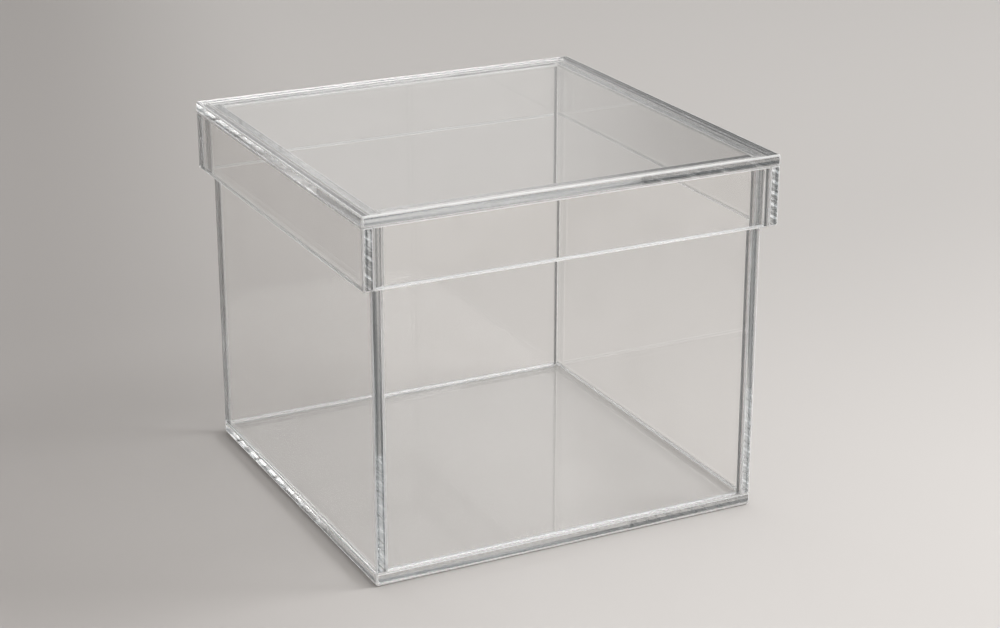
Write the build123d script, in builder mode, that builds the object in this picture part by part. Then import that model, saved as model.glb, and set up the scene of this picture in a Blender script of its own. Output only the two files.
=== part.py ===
from build123d import *

import os

# Clear acrylic storage box with a lift-off lid, made of flat panels bonded at their edges.
# Millimetres, +Z up. The origin is the centre of the footprint, on the surface that the box stands on.
# The front is -Y and the right side is +X.

# Clear storage space inside the body
inside_width = 180.0
inside_depth = 180.0
inside_height = 160.0

# Cast acrylic sheet that the panels are sawn from
base_thickness = 6.0
wall_thickness = 5.0
lid_top_thickness = 5.0
skirt_thickness = 5.0

# How the lid goes over the body
lid_side_gap = 0.5
skirt_drop = 28.0

# Finish of the exposed edges: flat polished arrises, and a rounded lower edge all round the base
polished_arris = 0.5
base_lower_radius = 1.5

# Body, worked out from the space inside it
body_width = inside_width + 2 * wall_thickness
body_depth = inside_depth + 2 * wall_thickness
rim_height = base_thickness + inside_height

# Lid, worked out from the body that it covers
lid_width = body_width + 2 * (lid_side_gap + skirt_thickness)
lid_depth = body_depth + 2 * (lid_side_gap + skirt_thickness)
cross_skirt_width = lid_width - 2 * skirt_thickness
skirt_bottom = rim_height - skirt_drop


def side_panel(side, outside_width, depth, thickness, bottom, height, open_end):
    """A full-depth upright panel whose outer face is half of outside_width from the middle.

    side is -1 for the left and +1 for the right. open_end is -1 where the panel's top is its exposed
    rim, and 0 where its bottom is. The outer corners are arrised, and the inner ones, where the front
    and back panels butt, stay square.
    """
    outer_corners = -1 if side > 0 else 0
    with BuildPart() as panel:
        with BuildSketch(Plane.XY.offset(bottom)):
            with Locations((side * (outside_width - thickness) / 2, 0)):
                Rectangle(thickness, depth)
        extrude(amount=height)
        rim = panel.faces().sort_by(Axis.Z)[open_end].edges()
        corners = panel.edges().filter_by(Axis.Z).group_by(Axis.X)[outer_corners]
        chamfer(rim + corners, length=polished_arris)
    return panel


def cross_panel(side, width, outside_depth, thickness, bottom, height, open_end):
    """An upright panel between two side panels, whose outer face is half of outside_depth from the middle.

    side is -1 for the front and +1 for the back. Its ends butt against the side panels and stay
    square, so only the two long edges of its exposed rim are arrised.
    """
    with BuildPart() as panel:
        with BuildSketch(Plane.XY.offset(bottom)):
            with Locations((0, side * (outside_depth - thickness) / 2)):
                Rectangle(width, thickness)
        extrude(amount=height)
        rim = panel.faces().sort_by(Axis.Z)[open_end].edges()
        chamfer(rim.filter_by(Axis.X), length=polished_arris)
    return panel


# Base plate: the full footprint, with its lower edge rounded where it meets the table
with BuildPart() as base_plate:
    with BuildSketch():
        footprint = Rectangle(body_width, body_depth)
        chamfer(footprint.vertices(), length=polished_arris)
    extrude(amount=base_thickness)
    for plane, span, run in ((Plane.XZ, body_width, body_depth), (Plane.YZ, body_depth, body_width)):
        with BuildSketch(plane):
            with Locations((0, base_thickness / 2)):
                section = Rectangle(span, base_thickness)
            fillet(section.vertices().group_by(Axis.Y)[0], radius=base_lower_radius)
        extrude(amount=run / 2, both=True, mode=Mode.INTERSECT)

# Body walls: they stand on the base plate, flush with its edge, and end at the rim
left_wall, right_wall = (
    side_panel(side, body_width, body_depth, wall_thickness, base_thickness, inside_height, -1)
    for side in (-1, 1)
)
front_wall, back_wall = (
    cross_panel(side, inside_width, body_depth, wall_thickness, base_thickness, inside_height, -1)
    for side in (-1, 1)
)

# Lid top: the full footprint of the lid, lying on the rim when the box is closed
with BuildPart() as lid_top:
    with BuildSketch(Plane.XY.offset(rim_height)):
        Rectangle(lid_width, lid_depth)
    extrude(amount=lid_top_thickness)
    chamfer(lid_top.faces().sort_by(Axis.Z)[-1].edges(), length=polished_arris)
    chamfer(lid_top.edges().filter_by(Axis.Z), length=polished_arris)

# Lid skirts: they hang from the lid top, flush with its edge, outside the body walls
lid_left_skirt, lid_right_skirt = (
    side_panel(side, lid_width, lid_depth, skirt_thickness, skirt_bottom, skirt_drop, 0)
    for side in (-1, 1)
)
lid_front_skirt, lid_back_skirt = (
    cross_panel(side, cross_skirt_width, lid_depth, skirt_thickness, skirt_bottom, skirt_drop, 0)
    for side in (-1, 1)
)

pieces = {
    "base_plate": base_plate,
    "left_wall": left_wall,
    "right_wall": right_wall,
    "front_wall": front_wall,
    "back_wall": back_wall,
    "lid_top": lid_top,
    "lid_left_skirt": lid_left_skirt,
    "lid_right_skirt": lid_right_skirt,
    "lid_front_skirt": lid_front_skirt,
    "lid_back_skirt": lid_back_skirt,
}
os.makedirs("parts", exist_ok=True)
for name, piece in pieces.items():
    piece.part.label = name
    export_step(piece.part, f"parts/{name}.step")
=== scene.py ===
import math

import bpy
import numpy as np
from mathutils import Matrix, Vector


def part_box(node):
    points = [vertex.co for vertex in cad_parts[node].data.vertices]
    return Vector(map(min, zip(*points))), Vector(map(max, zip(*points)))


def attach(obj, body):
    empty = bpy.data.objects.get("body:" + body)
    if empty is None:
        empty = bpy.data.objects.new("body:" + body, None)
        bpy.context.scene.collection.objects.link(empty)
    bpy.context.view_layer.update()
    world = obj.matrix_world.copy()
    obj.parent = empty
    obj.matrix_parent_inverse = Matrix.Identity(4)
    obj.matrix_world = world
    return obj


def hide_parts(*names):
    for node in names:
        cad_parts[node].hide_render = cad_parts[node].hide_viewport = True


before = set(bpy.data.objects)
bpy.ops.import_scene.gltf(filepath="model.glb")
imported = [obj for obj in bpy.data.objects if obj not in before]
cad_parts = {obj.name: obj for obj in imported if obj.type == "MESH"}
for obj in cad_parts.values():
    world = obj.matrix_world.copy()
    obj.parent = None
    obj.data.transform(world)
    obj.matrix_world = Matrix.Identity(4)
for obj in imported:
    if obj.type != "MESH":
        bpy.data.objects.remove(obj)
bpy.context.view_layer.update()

# Base plate
# The bottom panel, sawn from 6 mm cast acrylic sheet with its sawn edges polished. Its lower edge is
# rounded all round, and the four walls are solvent-bonded to its rim.
MM = 0.001
OPEN_ARRIS = 0.8 * MM
BUTTED_ARRIS = 0.6 * MM
BASE_LOWER_RADIUS = 1.5 * MM
ARRIS_STEPS = 4
BOND_LINE = 0.01 * MM
TOUCHING = 0.05 * MM
FLAT_FACING = 0.9999
ALONG_X, ALONG_Y = 0, 1
BODY_PANELS = ["base_plate", "left_wall", "right_wall", "front_wall", "back_wall"]


def is_near(points, box, reach):
    """True for each point that lies inside the box, or nearer to it than the reach along every axis."""
    return np.all(abs(points - box.mean(0)) < np.ptp(box, 0) / 2 + reach, axis=-1)


def arris_radii(ends, neighbours, lower_radius):
    """The radius of each of a panel's 12 arrises, named by two axes and the side it lies on along each.

    An arris whose middle touches a neighbour's box is butted and has the small radius, and any other
    is open. A lower radius, where given, is that of all four lowest arrises.
    """
    radii = {}
    for a, b in ((0, 1), (1, 2), (2, 0)):
        for side_a in (0, 1):
            for side_b in (0, 1):
                middle = ends.mean(0)
                middle[a], middle[b] = ends[side_a, a], ends[side_b, b]
                butted = any(is_near(middle, box, TOUCHING) for box in neighbours)
                radius = BUTTED_ARRIS if butted else OPEN_ARRIS
                if lower_radius and (2, 0) in ((a, side_a), (b, side_b)):
                    radius = lower_radius
                radii[a, side_a, b, side_b] = radii[b, side_b, a, side_a] = radius
    return radii


def section_outline(ends, radii, cuts, i, j):
    """A panel's outline across its run: points, outward normals, and the side that each point lies on.

    Each corner is a quarter circle, its centre + radius * (cos, sin) of the angle. A side between two
    corners has a point wherever a neighbour starts or ends.
    """
    points, normals, sides = [], [], []
    for quarter in range(4):
        turn = np.radians(90 * quarter - 90 + np.linspace(0, 90, ARRIS_STEPS + 1))
        out = np.column_stack([np.cos(turn), np.sin(turn)])
        corner = np.rint(out[0] + out[-1]).astype(int)
        side_i, side_j = (corner + 1) // 2
        radius = radii[i, side_i, j, side_j]
        points.append(np.array([ends[side_i, i], ends[side_j, j]]) + radius * (out - corner))
        normals.append(out)
        sides.append(np.tile(corner, (len(out), 1)))

        facing = np.rint(out[-1]).astype(int)
        fixed, along = (0, 1) if facing[0] else (1, 0)
        places = cuts[(i, j)[along]][:: facing[0] - facing[1]]
        row = np.zeros((len(places), 2))
        row[:, fixed] = ends[(facing[fixed] + 1) // 2, (i, j)[fixed]]
        row[:, along] = places
        points.append(row)
        normals.append(np.tile(facing, (len(places), 1)))
        sides.append(np.tile(facing, (len(places), 1)))
    return np.concatenate(points), np.concatenate(normals), np.concatenate(sides)


def panel_surface(ends, run, neighbours, lower_radius):
    """A panel's surface: its outline carried along its run, as a grid of points with their normals.

    Near each end the outline draws in by radius * (1 - sin t) where it stands radius * (1 - cos t)
    from the end, with t from 0 at the end face to a quarter turn, which rounds the end's arrises.
    """
    k, i, j = run, (run + 1) % 3, (run + 2) % 3
    radii = arris_radii(ends, neighbours, lower_radius)
    cuts = {}
    for axis in range(3):
        edges = {round(float(c), 6) for box in neighbours for c in box[:, axis]}
        inside = [c for c in edges if ends[0, axis] + OPEN_ARRIS < c < ends[1, axis] - OPEN_ARRIS]
        cuts[axis] = np.array(sorted(inside))
    outline, out, side = section_outline(ends, radii, cuts, i, j)
    side_index = (side + 1) // 2

    levels, level_normals = [], []
    t = np.linspace(0, math.pi / 2, ARRIS_STEPS + 1)[:, None]
    for end, inward in ((0, 1), (1, -1)):
        radius_i = np.array([radii[k, end, i, s] for s in side_index[:, 0]])
        radius_j = np.array([radii[k, end, j, s] for s in side_index[:, 1]])
        radius = radius_i * out[:, 0] ** 2 + radius_j * out[:, 1] ** 2
        grid, normal = np.zeros((2, len(t), len(outline), 3))
        grid[..., i] = outline[:, 0] - side[:, 0] * radius_i * (1 - np.sin(t))
        grid[..., j] = outline[:, 1] - side[:, 1] * radius_j * (1 - np.sin(t))
        grid[..., k] = ends[end, k] + inward * radius * (1 - np.cos(t))
        normal[..., i], normal[..., j] = out[:, 0] * np.sin(t), out[:, 1] * np.sin(t)
        normal[..., k] = -inward * np.cos(t)
        levels.append(grid[::inward])
        level_normals.append(normal[::inward])
    middle, normal = np.zeros((2, len(cuts[k]), len(outline), 3))
    middle[..., i], middle[..., j], middle[..., k] = outline[:, 0], outline[:, 1], cuts[k][:, None]
    normal[..., i], normal[..., j] = out[:, 0], out[:, 1]
    grid = np.concatenate([levels[0], middle, levels[1]])
    normals = np.concatenate([level_normals[0], normal, level_normals[1]])
    return grid, normals


# The places of the six finishes among a panel's materials
CAST, SAWN, ARRIS, BONDED, PRESSED, JOINT_ARRIS = range(6)


def panel(node, run, group, lower_radius=None):
    """The shown piece for a CAD panel: rounded arrises, and its own material on each kind of face.

    An arris is in a joint where it is near a neighbour, and those on the base plate count as open.
    Each corner of a face also keeps its place as (along the face's longer side, across it, out of it),
    which the marks of the edges follow.
    """
    boxes = {name: np.array(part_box(name), float) for name in group if name != node}
    ends = np.array(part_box(node), float) + np.array([[1], [-1]]) * BOND_LINE / 2
    grid, normals = panel_surface(ends, run, list(boxes.values()), lower_radius)
    rows, columns = grid.shape[:2]
    index = np.arange(rows * columns).reshape(rows, columns)
    following = np.roll(index, -1, axis=1)
    quads = np.stack([index[:-1], following[:-1], following[1:], index[1:]], axis=-1).reshape(-1, 4)
    caps = [index[0, ::-1].tolist(), index[-1].tolist()]
    mesh = bpy.data.meshes.new(node + "_panel")
    mesh.from_pydata(grid.reshape(-1, 3).tolist(), [], quads.tolist() + caps)
    mesh.polygons.foreach_set("use_smooth", np.ones(len(mesh.polygons), bool))
    mesh.normals_split_custom_set_from_vertices(normals.reshape(-1, 3).tolist())

    facing, centre = np.zeros((2, len(mesh.polygons) * 3))
    mesh.polygons.foreach_get("normal", facing)
    mesh.polygons.foreach_get("center", centre)
    facing, centre = facing.reshape(-1, 3), centre.reshape(-1, 3)
    axis = abs(facing).argmax(1)
    flat = abs(facing).max(1) > FLAT_FACING
    size = np.ptp(ends, 0)
    broad = axis == size.argmin()
    bonded, in_joint = np.zeros((2, len(facing)), bool)
    for name, box in boxes.items():
        bonded |= is_near(centre, box, TOUCHING)
        if "base_plate" not in (name, node):
            in_joint |= is_near(centre, box, BUTTED_ARRIS)
    stood_on = bonded & (axis == 2) & (group is BODY_PANELS)
    kinds = [flat & broad, flat & stood_on, flat & bonded, flat, in_joint]
    finish = np.select(kinds, [CAST, PRESSED, BONDED, SAWN, JOINT_ARRIS], ARRIS)
    mesh.polygons.foreach_set("material_index", finish)

    along = np.array([np.argmax(np.where(np.arange(3) == a, 0, size)) for a in range(3)])
    across = 3 - along - np.arange(3)
    corners_of_face = np.zeros(len(mesh.polygons), int)
    mesh.polygons.foreach_get("loop_total", corners_of_face)
    out_of = np.repeat(axis, corners_of_face)
    corner = np.zeros(len(mesh.loops), int)
    mesh.loops.foreach_get("vertex_index", corner)
    order = np.column_stack([along[out_of], across[out_of], out_of])
    run_place = np.take_along_axis(grid.reshape(-1, 3)[corner], order, axis=1)
    layer = mesh.attributes.new("edge_run", "FLOAT_VECTOR", "CORNER")
    layer.data.foreach_set("vector", run_place.ravel())

    for material in (clear_sheet, sawn_edge, satin_arris, bonded_edge, pressed_bond, joint_arris):
        mesh.materials.append(material)
    piece = bpy.data.objects.new(node + "_panel", mesh)
    bpy.context.scene.collection.objects.link(piece)
    return piece


# The sockets of a colour mix node
MIX_FIRST, MIX_SECOND, MIX_RESULT = 6, 7, 2
ACRYLIC_IOR = 1.49


def eased(nodes, start, end, results=(0, 1)):
    """A node that eases from the first result to the second while its value goes from start to end."""
    share = nodes.new("ShaderNodeMapRange")
    share.interpolation_type = "SMOOTHSTEP"
    share.inputs["From Min"].default_value = start
    share.inputs["From Max"].default_value = end
    share.inputs["To Min"].default_value = results[0]
    share.inputs["To Max"].default_value = results[1]
    return share


def clear_material(name, marks, span, tints, roughness, clearness, shade):
    """Clear plastic whose tint and roughness go from a first value to a second over its marks' span.

    It lets lamps and soft light straight through, dimmed to the shade, so that the floor under it is lit.
    """
    material = bpy.data.materials.new(name)
    material.use_nodes = True
    nodes, links = material.node_tree.nodes, material.node_tree.links
    nodes.clear()
    output = nodes.new("ShaderNodeOutputMaterial")
    glass = nodes.new("ShaderNodeBsdfPrincipled")
    clear = nodes.new("ShaderNodeBsdfTransparent")
    mix = nodes.new("ShaderNodeMixShader")
    path = nodes.new("ShaderNodeLightPath")
    either = nodes.new("ShaderNodeMath")
    either.operation = "MAXIMUM"
    links.new(path.outputs["Is Shadow Ray"], either.inputs[0])
    links.new(path.outputs["Is Diffuse Ray"], either.inputs[1])
    links.new(either.outputs[0], mix.inputs[0])
    links.new(glass.outputs[0], mix.inputs[1])
    links.new(clear.outputs[0], mix.inputs[2])
    links.new(mix.outputs[0], output.inputs["Surface"])
    glass.inputs["Transmission Weight"].default_value = clearness
    glass.inputs["IOR"].default_value = ACRYLIC_IOR
    clear.inputs["Color"].default_value = shade

    pattern = nodes.new("ShaderNodeGroup")
    pattern.node_tree = marks
    share = eased(nodes, *span)
    tint = nodes.new("ShaderNodeMix")
    tint.data_type = "RGBA"
    tint.inputs[MIX_FIRST].default_value = tints[0]
    tint.inputs[MIX_SECOND].default_value = tints[1]
    polish = nodes.new("ShaderNodeMapRange")
    polish.inputs["To Min"].default_value = roughness[0]
    polish.inputs["To Max"].default_value = roughness[1]
    links.new(pattern.outputs["Marks"], share.inputs["Value"])
    links.new(share.outputs[0], tint.inputs[0])
    links.new(share.outputs[0], polish.inputs["Value"])
    links.new(tint.outputs[MIX_RESULT], glass.inputs["Base Color"])
    links.new(polish.outputs[0], glass.inputs["Roughness"])
    links.new(pattern.outputs["Normal"], glass.inputs["Normal"])
    return material


def marks_group(name):
    """A node group with two outputs: marks, about 0.5 on average, and a normal."""
    group = bpy.data.node_groups.new(name, "ShaderNodeTree")
    group.interface.new_socket("Marks", in_out="OUTPUT", socket_type="NodeSocketFloat")
    group.interface.new_socket("Normal", in_out="OUTPUT", socket_type="NodeSocketVector")
    return group, group.nodes, group.links, group.nodes.new("NodeGroupOutput")


# The broad faces as cast: a long, hardly visible waviness, and a faint haze of handling in patches
SHEET_WAVES, SHEET_WAVE_HEIGHT = 20, 0.01 * MM
HAZE_PATCHES, HAZE_DETAIL = 26, 4
cast_marks, nodes, links, output = marks_group("cast_marks")
place = nodes.new("ShaderNodeTexCoord")
waves = nodes.new("ShaderNodeTexNoise")
waves.inputs["Scale"].default_value = SHEET_WAVES
waves.inputs["Detail"].default_value = 0
height = nodes.new("ShaderNodeMath")
height.operation = "MULTIPLY"
height.inputs[1].default_value = SHEET_WAVE_HEIGHT
bump = nodes.new("ShaderNodeBump")
bump.inputs["Distance"].default_value = 1
haze = nodes.new("ShaderNodeTexNoise")
haze.inputs["Scale"].default_value = HAZE_PATCHES
haze.inputs["Detail"].default_value = HAZE_DETAIL
links.new(place.outputs["Object"], waves.inputs["Vector"])
links.new(place.outputs["Object"], haze.inputs["Vector"])
links.new(waves.outputs[0], height.inputs[0])
links.new(height.outputs[0], bump.inputs["Height"])
links.new(haze.outputs[0], output.inputs["Marks"])
links.new(bump.outputs[0], output.inputs["Normal"])

# The sawn edges: faint slanted waves of the saw across their run, and lines of the scraper along it.
# The scraper's lines are also the marks.
SAW_WAVE, SAW_SLANT, SAW_WAVE_HEIGHT = (36 * MM, 60 * MM, 60 * MM), math.radians(20), 0.025 * MM
SCRAPER_LINE, SCRAPER_LINE_HEIGHT = (180 * MM, 1.4 * MM, 60 * MM), 0.006 * MM
EDGE_MARK_DETAIL = 0.5
edge_marks, nodes, links, output = marks_group("edge_marks")
place = nodes.new("ShaderNodeAttribute")
place.attribute_name = "edge_run"
heights = []
for spacing, slant, tallest in (
    (SAW_WAVE, SAW_SLANT, SAW_WAVE_HEIGHT),
    (SCRAPER_LINE, 0, SCRAPER_LINE_HEIGHT),
):
    laid = nodes.new("ShaderNodeMapping")
    laid.vector_type = "TEXTURE"
    laid.inputs["Scale"].default_value = spacing
    laid.inputs["Rotation"].default_value = (0, 0, slant)
    marks = nodes.new("ShaderNodeTexNoise")
    marks.inputs["Scale"].default_value = 1
    marks.inputs["Detail"].default_value = EDGE_MARK_DETAIL
    height = nodes.new("ShaderNodeMath")
    height.operation = "MULTIPLY"
    height.inputs[1].default_value = tallest
    links.new(place.outputs["Vector"], laid.inputs["Vector"])
    links.new(laid.outputs[0], marks.inputs["Vector"])
    links.new(marks.outputs[0], height.inputs[0])
    heights.append(height.outputs[0])
surface = nodes.new("ShaderNodeMath")
surface.operation = "ADD"
bump = nodes.new("ShaderNodeBump")
bump.inputs["Distance"].default_value = 1
links.new(heights[0], surface.inputs[0])
links.new(heights[1], surface.inputs[1])
links.new(surface.outputs[0], bump.inputs["Height"])
links.new(marks.outputs[0], output.inputs["Marks"])
links.new(bump.outputs[0], output.inputs["Normal"])

# Broad faces: water-clear, and a little dimmer in the haze
SHEET_TINT_IN_HAZE, SHEET_TINT = (0.98, 0.978, 0.974, 1), (0.995, 0.994, 0.991, 1)
SHEET_HAZE_SPAN, SHEET_ROUGHNESS = (0.66, 0.5), (0.012, 0)
SHADE_THROUGH_SHEET = (0.95, 0.95, 0.95, 1)
clear_sheet = clear_material(
    name="clear_sheet",
    marks=cast_marks,
    span=SHEET_HAZE_SPAN,
    tints=(SHEET_TINT_IN_HAZE, SHEET_TINT),
    roughness=SHEET_ROUGHNESS,
    clearness=1,
    shade=SHADE_THROUGH_SHEET,
)

# Open sawn edges: polished, but greyer than the faces, and dark in the scraper's lines
EDGE_TINT_IN_LINES, EDGE_TINT = (0.25, 0.27, 0.28, 1), (0.9, 0.91, 0.91, 1)
EDGE_LINE_SPAN, EDGE_ROUGHNESS = (0.38, 0.5), (0.02, 0.08)
SHADE_THROUGH_EDGE = (0.5, 0.49, 0.48, 1)
sawn_edge = clear_material(
    name="sawn_edge",
    marks=edge_marks,
    span=EDGE_LINE_SPAN,
    tints=(EDGE_TINT_IN_LINES, EDGE_TINT),
    roughness=EDGE_ROUGHNESS,
    clearness=0.9,
    shade=SHADE_THROUGH_EDGE,
)

# Bonded edges: the saw's marks stay under the solvent, so they are grey bands in the clear sheet
BOND_TINT_IN_LINES, BOND_TINT = (0.03, 0.035, 0.04, 1), (0.36, 0.38, 0.39, 1)
BOND_LINE_SPAN, BOND_ROUGHNESS = (0.4, 0.6), (0.1, 0.04)
bonded_edge = clear_material(
    name="bonded_edge",
    marks=edge_marks,
    span=BOND_LINE_SPAN,
    tints=(BOND_TINT_IN_LINES, BOND_TINT),
    roughness=BOND_ROUGHNESS,
    clearness=0.6,
    shade=SHADE_THROUGH_SHEET,
)

# Bonded edges that the walls stand on: their weight pressed these joints tight, so they are clearer
PRESSED_BOND_TINT_IN_LINES, PRESSED_BOND_TINT = (0.3, 0.32, 0.33, 1), (0.93, 0.94, 0.94, 1)
PRESSED_BOND_ROUGHNESS = (0.03, 0)
pressed_bond = clear_material(
    name="pressed_bond",
    marks=edge_marks,
    span=BOND_LINE_SPAN,
    tints=(PRESSED_BOND_TINT_IN_LINES, PRESSED_BOND_TINT),
    roughness=PRESSED_BOND_ROUGHNESS,
    clearness=0.8,
    shade=SHADE_THROUGH_SHEET,
)

# Arrises: broken by hand and left satin, so they scatter the light in white lines. Seen from inside
# the sheet they take a painted shade, darker for those in a joint than for the open ones.
ARRIS_TINT_IN_LINES, ARRIS_TINT = (0.85, 0.86, 0.87, 1), (1, 1, 1, 1)
ARRIS_LINE_SPAN, ARRIS_ROUGHNESS = (0.35, 0.5), (0.9, 0.75)
ARRIS_PAINTED_SHADE_FROM_INSIDE, JOINT_PAINTED_SHADE_FROM_INSIDE = (0.84, 0.86, 0.87, 1), (0.3, 0.32, 0.33, 1)
SHADE_THROUGH_ARRIS = (0.22, 0.215, 0.21, 1)


def arris_material(name, painted_shade_from_inside):
    """A satin arris, which takes a painted shade where it is seen from inside the sheet."""
    material = clear_material(
        name=name,
        marks=edge_marks,
        span=ARRIS_LINE_SPAN,
        tints=(ARRIS_TINT_IN_LINES, ARRIS_TINT),
        roughness=ARRIS_ROUGHNESS,
        clearness=0.5,
        shade=SHADE_THROUGH_ARRIS,
    )
    nodes, links = material.node_tree.nodes, material.node_tree.links
    # Painted shade: seen from inside the sheet, the arris's colour gives way to a darker one.
    side = nodes.new("ShaderNodeNewGeometry")
    painted_shade_mix = nodes.new("ShaderNodeMix")
    painted_shade_mix.data_type = "RGBA"
    painted_shade_mix.inputs[MIX_SECOND].default_value = painted_shade_from_inside
    colour = nodes["Principled BSDF"].inputs["Base Color"]
    links.new(side.outputs["Backfacing"], painted_shade_mix.inputs[0])
    links.new(colour.links[0].from_socket, painted_shade_mix.inputs[MIX_FIRST])
    links.new(painted_shade_mix.outputs[MIX_RESULT], colour)
    return material


satin_arris = arris_material("satin_arris", ARRIS_PAINTED_SHADE_FROM_INSIDE)
joint_arris = arris_material("joint_arris", JOINT_PAINTED_SHADE_FROM_INSIDE)

base_plate = panel("base_plate", ALONG_Y, BODY_PANELS, BASE_LOWER_RADIUS)
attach(base_plate, "body")
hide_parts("base_plate")

# Body walls
# Four upright panels of 5 mm sheet, solvent-bonded to the base plate and to each other. The side
# walls run the full depth, so their edges show at the front and back, and the other two butt between.
for node, run in (
    ("left_wall", ALONG_Y),
    ("right_wall", ALONG_Y),
    ("front_wall", ALONG_X),
    ("back_wall", ALONG_X),
):
    wall = panel(node, run, BODY_PANELS)
    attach(wall, "body")
    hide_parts(node)

# Lid top
# One panel of 5 mm sheet over the whole lid, which lies on the walls' rims when the box is closed.
# Its edges show all round, and the skirts are solvent-bonded under its rim.
LID_PANELS = ["lid_top", "lid_left_skirt", "lid_right_skirt", "lid_front_skirt", "lid_back_skirt"]
lid_top = panel("lid_top", ALONG_Y, LID_PANELS)
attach(lid_top, "lid")
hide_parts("lid_top")

# Lid skirts
# Four low panels of 5 mm sheet, solvent-bonded under the lid top's rim and to each other. They hang
# outside the walls and keep the lid in place. The side skirts run the full depth.
for node, run in (
    ("lid_left_skirt", ALONG_Y),
    ("lid_right_skirt", ALONG_Y),
    ("lid_front_skirt", ALONG_X),
    ("lid_back_skirt", ALONG_X),
):
    skirt = panel(node, run, LID_PANELS)
    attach(skirt, "lid")
    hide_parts(node)

# Studio floor and backdrop
# A paper floor, flat around the box, which curves up far off on every side. Its colour is painted light
# and shade: graduated from grey on the left to pale on the right, toward the softbox, a little darker to
# the back, and dim far off to the right, where painted shade holds down the softbox's pool of light.
FLAT_RINGS = (0.4, 0.9, 1.6)
FLOOR_RADIUS, SWEEP_RADIUS, SWEEP_ANGLE = 2.4, 2.0, 50
SWEEP_STEPS, TURN_STEPS = 17, 96
sweep = np.radians(np.linspace(0, SWEEP_ANGLE, SWEEP_STEPS))
radius = np.concatenate([FLAT_RINGS, FLOOR_RADIUS + SWEEP_RADIUS * np.sin(sweep)])
height = np.concatenate([np.zeros(len(FLAT_RINGS)), SWEEP_RADIUS * (1 - np.cos(sweep))])
turn = np.linspace(0, 2 * math.pi, TURN_STEPS + 1)[:-1]
around = [np.outer(radius, np.cos(turn)), np.outer(radius, np.sin(turn))]
grid = np.stack([*around, np.outer(height, np.ones(TURN_STEPS))], -1)
index = np.arange(len(radius) * TURN_STEPS).reshape(-1, TURN_STEPS)
following = np.roll(index, -1, axis=1)
quads = np.stack([index[:-1], index[1:], following[1:], following[:-1]], -1).reshape(-1, 4)
mesh = bpy.data.meshes.new("studio_floor")
mesh.from_pydata(grid.reshape(-1, 3).tolist(), [], quads.tolist() + [index[0].tolist()])
mesh.polygons.foreach_set("use_smooth", np.ones(len(mesh.polygons), bool))
floor = bpy.data.objects.new("studio_floor", mesh)
bpy.context.scene.collection.objects.link(floor)

# The paper's tones are painted light and shade: pale toward the softbox, grey away from it, darker to the
# back, dimmed far off.
PAPER_IN_PAINTED_SHADE, PAPER_IN_PAINTED_LIGHT = (0.44, 0.418, 0.403, 1), (0.61, 0.588, 0.57, 1)
PAPER_ROUGHNESS = 0.9
PALER_TOWARD = (math.sin(math.radians(105)), math.cos(math.radians(105)), 0)
GREY_UNTIL, PALE_FROM = -0.22, 0.02
DARKER_FROM, DARKEST_FROM, BACK_PAINTED_SHADE_BY = -0.3, 0.3, 0.26
DIM_FROM, DIMMEST_FROM, FAR_PAINTED_SHADE_BY = 0.7, 1.7, 0.5
paper = bpy.data.materials.new("backdrop_paper")
paper.use_nodes = True
nodes, links = paper.node_tree.nodes, paper.node_tree.links
shade = nodes["Principled BSDF"]
shade.inputs["Roughness"].default_value = PAPER_ROUGHNESS
place = nodes.new("ShaderNodeTexCoord")
rightward = nodes.new("ShaderNodeVectorMath")
rightward.operation = "DOT_PRODUCT"
rightward.inputs[1].default_value = PALER_TOWARD
backward = nodes.new("ShaderNodeSeparateXYZ")
grade = eased(nodes, GREY_UNTIL, PALE_FROM)
darker = eased(nodes, DARKER_FROM, DARKEST_FROM, (1, 1 - BACK_PAINTED_SHADE_BY))
far_off = eased(nodes, DIM_FROM, DIMMEST_FROM, (1, 1 - FAR_PAINTED_SHADE_BY))
tone = nodes.new("ShaderNodeMix")
tone.data_type = "RGBA"
tone.inputs[MIX_FIRST].default_value = PAPER_IN_PAINTED_SHADE
tone.inputs[MIX_SECOND].default_value = PAPER_IN_PAINTED_LIGHT
both = nodes.new("ShaderNodeMath")
both.operation = "MULTIPLY"
dimmed = nodes.new("ShaderNodeVectorMath")
dimmed.operation = "SCALE"
links.new(place.outputs["Object"], rightward.inputs[0])
links.new(place.outputs["Object"], backward.inputs[0])
links.new(rightward.outputs["Value"], grade.inputs["Value"])
links.new(rightward.outputs["Value"], far_off.inputs["Value"])
links.new(backward.outputs["Y"], darker.inputs["Value"])
links.new(grade.outputs[0], tone.inputs[0])
links.new(darker.outputs[0], both.inputs[0])
links.new(far_off.outputs[0], both.inputs[1])
links.new(tone.outputs[MIX_RESULT], dimmed.inputs[0])
links.new(both.outputs[0], dimmed.inputs["Scale"])
links.new(dimmed.outputs[0], shade.inputs["Base Color"])
mesh.materials.append(paper)

# Studio lights
# One softbox high to the right, which the camera doesn't see, and a dim room around the box. The
# room's white panels and dark corners are what the acrylic's edges show as white and dark bands.
KEY_DIRECTION, KEY_DISTANCE = (110, 44), 2.5
KEY_SIZE, KEY_POWER = 0.8, 40
ROOM_COLOUR, ROOM_LEVEL = (1, 0.985, 0.97, 1), 0.62

# Each panel of the room: its azimuths and elevations, the width of its soft border, and its level
ROOM_PANELS = (
    ((238, 322), (-10, 48), 12, 0.25),
    ((50, 130), (50, 75), 20, 1.3),
    ((286, 329), (5, 45), 3, 0.1),
    ((333, 370), (25, 42), 3, 2.8),
    ((196, 224), (8, 40), 8, 0.1),
    ((147, 168), (8, 36), 6, 3.2),
    ((33, 60), (-5, 16), 6, 0.26),
)


def toward(azimuth, elevation):
    """The unit direction by degrees clockwise from +Y and above the floor."""
    a, e = math.radians(azimuth), math.radians(elevation)
    return Vector((math.sin(a) * math.cos(e), math.cos(a) * math.cos(e), math.sin(e)))


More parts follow.
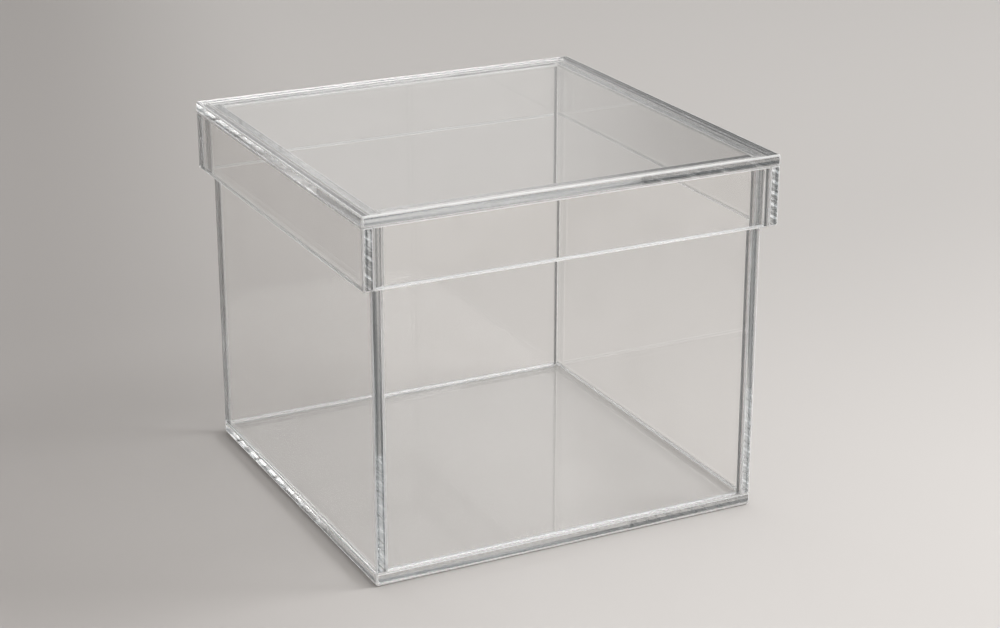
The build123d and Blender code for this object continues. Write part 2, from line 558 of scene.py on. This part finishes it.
key_light = bpy.data.lights.new("key_softbox", "AREA")
key_light.shape, key_light.size, key_light.energy = "SQUARE", KEY_SIZE, KEY_POWER
key_softbox = bpy.data.objects.new("key_softbox", key_light)
key_softbox.location = toward(*KEY_DIRECTION) * KEY_DISTANCE
key_softbox.rotation_mode = "QUATERNION"
key_softbox.rotation_quaternion = (-key_softbox.location).to_track_quat("-Z", "Y")
key_softbox.visible_camera = False
bpy.context.scene.collection.objects.link(key_softbox)

world = bpy.data.worlds.new("room")
bpy.context.scene.world = world
world.use_nodes = True
nodes, links = world.node_tree.nodes, world.node_tree.links
outward = nodes.new("ShaderNodeTexCoord").outputs["Generated"]
height_above = nodes.new("ShaderNodeVectorMath")
height_above.operation = "DOT_PRODUCT"
height_above.inputs[1].default_value = (0, 0, 1)
elevation = nodes.new("ShaderNodeMath")
elevation.operation = "ARCSINE"
links.new(outward, height_above.inputs[0])
links.new(height_above.outputs["Value"], elevation.inputs[0])

# The sockets of a number mix node
MIX_FIRST_NUMBER, MIX_SECOND_NUMBER = 2, 3


def within(angle, half, feather):
    """1 where the angle, in radians, is within half degrees of nought, easing to 0 over the feather."""
    size = nodes.new("ShaderNodeMath")
    size.operation = "ABSOLUTE"
    share = eased(nodes, math.radians(half + feather), math.radians(half))
    links.new(angle, size.inputs[0])
    links.new(size.outputs[0], share.inputs["Value"])
    return share.outputs[0]


def soft_panel(room_level, azimuths, elevations, feather, level):
    """The room's brightness with one panel of wall: level between two azimuths and two elevations."""
    middle = sum(azimuths) / 2
    parts = []
    for direction in (toward(middle + 90, 0), toward(middle, 0)):
        part = nodes.new("ShaderNodeVectorMath")
        part.operation = "DOT_PRODUCT"
        part.inputs[1].default_value = direction
        links.new(outward, part.inputs[0])
        parts.append(part.outputs["Value"])
    sideways = nodes.new("ShaderNodeMath")
    sideways.operation = "ARCTAN2"
    links.new(parts[0], sideways.inputs[0])
    links.new(parts[1], sideways.inputs[1])
    upward = nodes.new("ShaderNodeMath")
    upward.operation = "SUBTRACT"
    links.new(elevation.outputs[0], upward.inputs[0])
    upward.inputs[1].default_value = math.radians(sum(elevations) / 2)
    share = nodes.new("ShaderNodeMath")
    share.operation = "MULTIPLY"
    links.new(within(sideways.outputs[0], (azimuths[1] - azimuths[0]) / 2, feather), share.inputs[0])
    links.new(within(upward.outputs[0], (elevations[1] - elevations[0]) / 2, feather), share.inputs[1])
    mix = nodes.new("ShaderNodeMix")
    links.new(share.outputs[0], mix.inputs[0])
    links.new(room_level, mix.inputs[MIX_FIRST_NUMBER])
    mix.inputs[MIX_SECOND_NUMBER].default_value = level
    return mix.outputs[0]


even = nodes.new("ShaderNodeValue")
even.outputs[0].default_value = ROOM_LEVEL
room_level = even.outputs[0]
for azimuths, elevations, feather, level in ROOM_PANELS:
    room_level = soft_panel(room_level, azimuths, elevations, feather, level)
room = nodes["Background"]
room.inputs["Color"].default_value = ROOM_COLOUR
links.new(room_level, room.inputs["Strength"])

# Camera
# A short telephoto lens at the front left of the box, looking a little down. Its place, angle and
# length were fitted to the box's corners in the photograph.
CAMERA_PLACE = (-0.4417, -0.9116, 0.4553)
CAMERA_YAW, CAMERA_PITCH = math.radians(26.46), math.radians(20.37)
CAMERA_LENS, CAMERA_SENSOR = 82.15, 36.0
NEAREST_SEEN, FARTHEST_SEEN = 0.05, 20
camera_data = bpy.data.cameras.new("camera")
camera_data.sensor_width, camera_data.lens = CAMERA_SENSOR, CAMERA_LENS
camera_data.clip_start, camera_data.clip_end = NEAREST_SEEN, FARTHEST_SEEN
camera = bpy.data.objects.new("camera", camera_data)
camera.location = CAMERA_PLACE
forward = Vector((
    math.sin(CAMERA_YAW) * math.cos(CAMERA_PITCH),
    math.cos(CAMERA_YAW) * math.cos(CAMERA_PITCH),
    -math.sin(CAMERA_PITCH),
))
camera.rotation_mode = "QUATERNION"
camera.rotation_quaternion = forward.to_track_quat("-Z", "Y")
bpy.context.scene.collection.objects.link(camera)
bpy.context.scene.camera = camera

# Light crosses many sheets on its way through the box, so its paths are long.
SHEET_BOUNCES, PAPER_BOUNCES = 64, 4
scene = bpy.context.scene
scene.view_settings.view_transform = "Standard"
scene.cycles.max_bounces = SHEET_BOUNCES
scene.cycles.transmission_bounces = SHEET_BOUNCES
scene.cycles.glossy_bounces = SHEET_BOUNCES
scene.cycles.transparent_max_bounces = SHEET_BOUNCES
scene.cycles.diffuse_bounces = PAPER_BOUNCES
